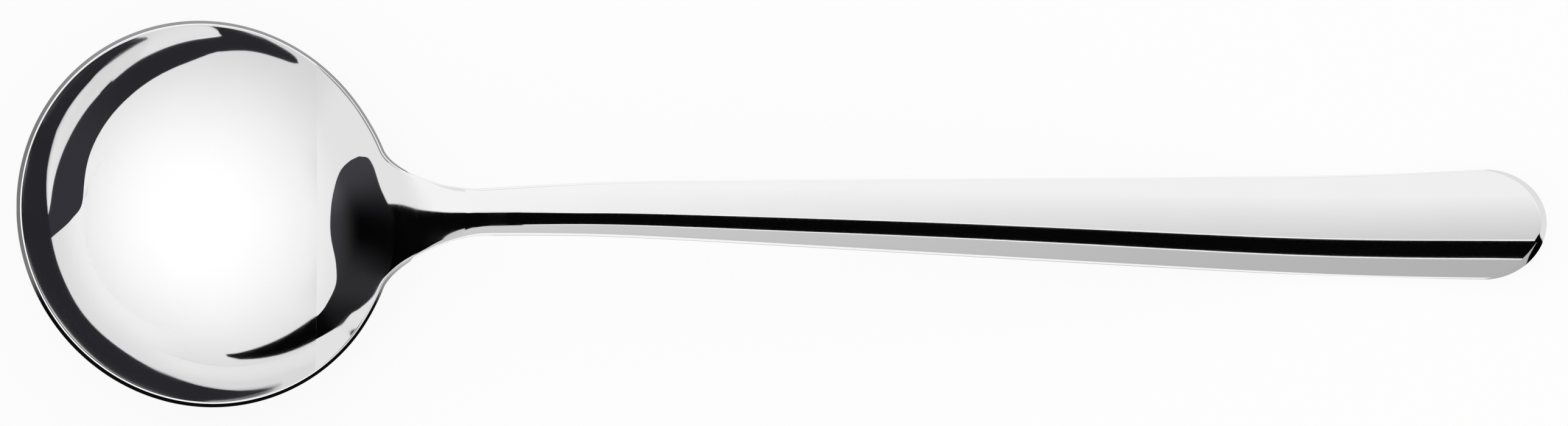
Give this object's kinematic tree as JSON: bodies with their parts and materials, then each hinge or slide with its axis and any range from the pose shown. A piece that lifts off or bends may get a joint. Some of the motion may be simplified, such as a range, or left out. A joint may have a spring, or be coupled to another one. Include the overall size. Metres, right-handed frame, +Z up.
{
  "type": "soup ladle",
  "caption": "Polished steel soup ladle: shallow round bowl with a raised shoulder, slim welded neck and a long handle that widens to a rounded, lifted end.",
  "frame": {"origin": "middle of the small flat under the bowl on which the ladle lies on a table", "axes": "+X from the bowl to the handle's end along the table, +Z up, so the bowl opens upwards and the XZ plane is the plane of symmetry"},
  "size_m": [0.3188, 0.0814, 0.0329],
  "materials": {
    "polished_steel": "mirror-polished stainless steel",
    "dressed_weld": "weld bead ground flush and polished with the steel around it"
  },
  "bodies": {
    "root": {"bowl": "polished_steel", "handle": "polished_steel", "neck_weld": "dressed_weld"}
  },
  "joints": []
}
